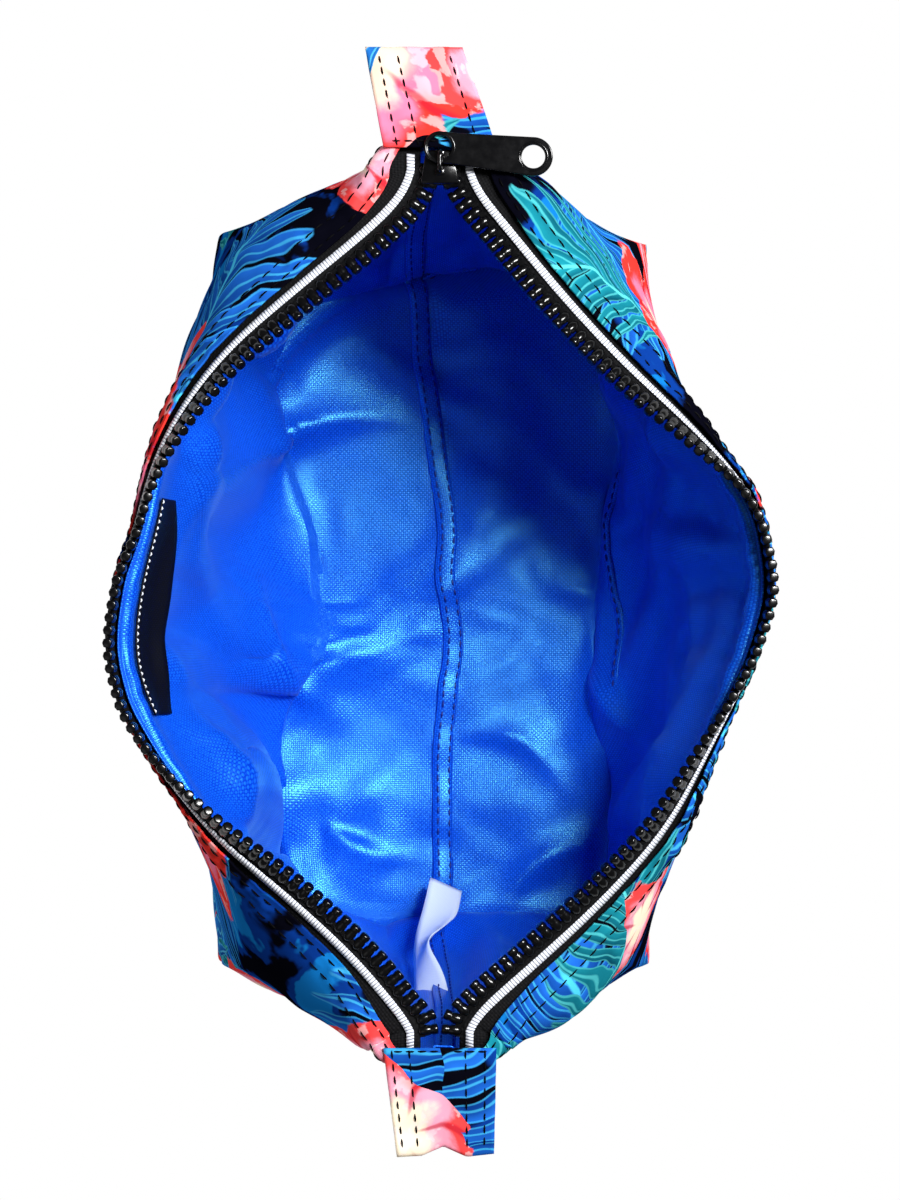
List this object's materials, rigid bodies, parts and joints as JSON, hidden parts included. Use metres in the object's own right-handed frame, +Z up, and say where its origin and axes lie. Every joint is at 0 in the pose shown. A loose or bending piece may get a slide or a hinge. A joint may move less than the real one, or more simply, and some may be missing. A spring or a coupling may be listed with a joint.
{
  "type": "toiletry bag",
  "caption": "Open zip toiletry bag with a boxed base, printed outer cloth, blue lining, black moulded zip with white ribbons, slider with a swivelling pull, and a folded tab at each end.",
  "frame": {"origin": "middle of the base's underside, under the middle of the overall box", "axes": "+Z up, +Y along the zip towards the slider, +X to the side where the pull lies"},
  "size_m": [0.1601, 0.2657, 0.1175],
  "materials": {
    "printed_satin": "satin polyester printed with fronds and blossoms on black",
    "blue_lining": "royal blue woven nylon with a soft sheen",
    "black_tape": "black woven zip tape",
    "white_ribbon": "ribbed white ribbon",
    "black_plastic": "moulded teeth, glossy",
    "black_metal": "black enamel, glossy",
    "label_cloth": "black woven label, bare",
    "care_ribbon": "pale satin ribbon, bare"
  },
  "bodies": {
    "bag": {"outer_shell": "printed_satin", "lining": "blue_lining", "zip_tape_right": "black_tape", "zip_tape_left": "black_tape", "zip_ribbon_right": "white_ribbon", "zip_ribbon_left": "white_ribbon", "zip_teeth_right": "black_plastic", "zip_teeth_left": "black_plastic", "slider": "black_metal", "head_tab": "printed_satin", "foot_tab": "printed_satin", "side_label": "label_cloth", "care_label": "care_ribbon"},
    "pull": {"zip_pull": "black_metal"}
  },
  "joints": [
    {"name": "pull_swivel", "type": "hinge", "parent": "bag", "child": "pull", "pos_m": [0, 0.108, 0.1103], "axis": [0, 0, 1], "range_deg": [-22, 208]}
  ]
}
